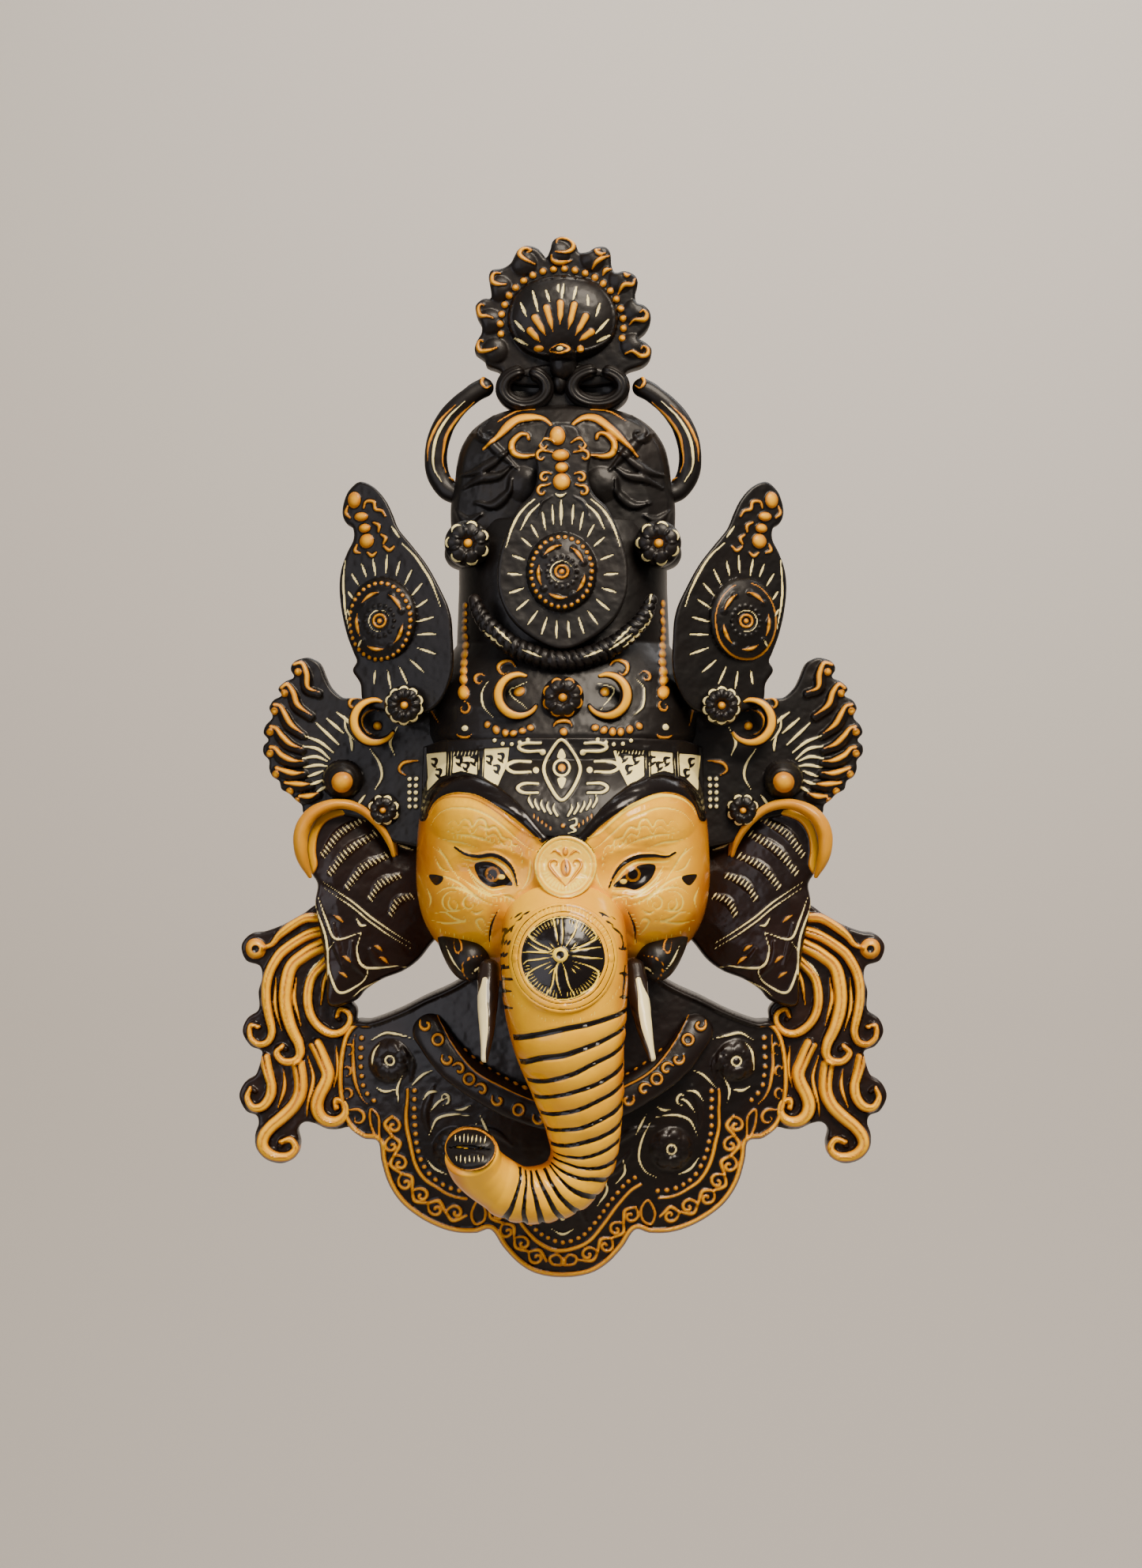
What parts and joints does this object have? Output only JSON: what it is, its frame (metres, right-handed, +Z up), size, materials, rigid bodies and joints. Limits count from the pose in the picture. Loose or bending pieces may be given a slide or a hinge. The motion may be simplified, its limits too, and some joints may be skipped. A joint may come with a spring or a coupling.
{
  "type": "ganesha wall mask",
  "caption": "Carved wall mask of an elephant-headed figure with a leaf crown, fan ears, curled trunk and lobed collar, cast hollow-backed to hang flat on a wall.",
  "frame": {"origin": "on the flat back face of the crown, on the mask's centre line, 14 mm below the nail hole", "axes": "+Z up, the mask faces -Y, +Y points into the wall, +X to the viewer's right"},
  "size_m": [0.284, 0.1114, 0.456],
  "materials": {
    "dark_resin": "satin"
  },
  "bodies": {
    "root": {"ganesha_mask": "dark_resin"}
  },
  "joints": []
}
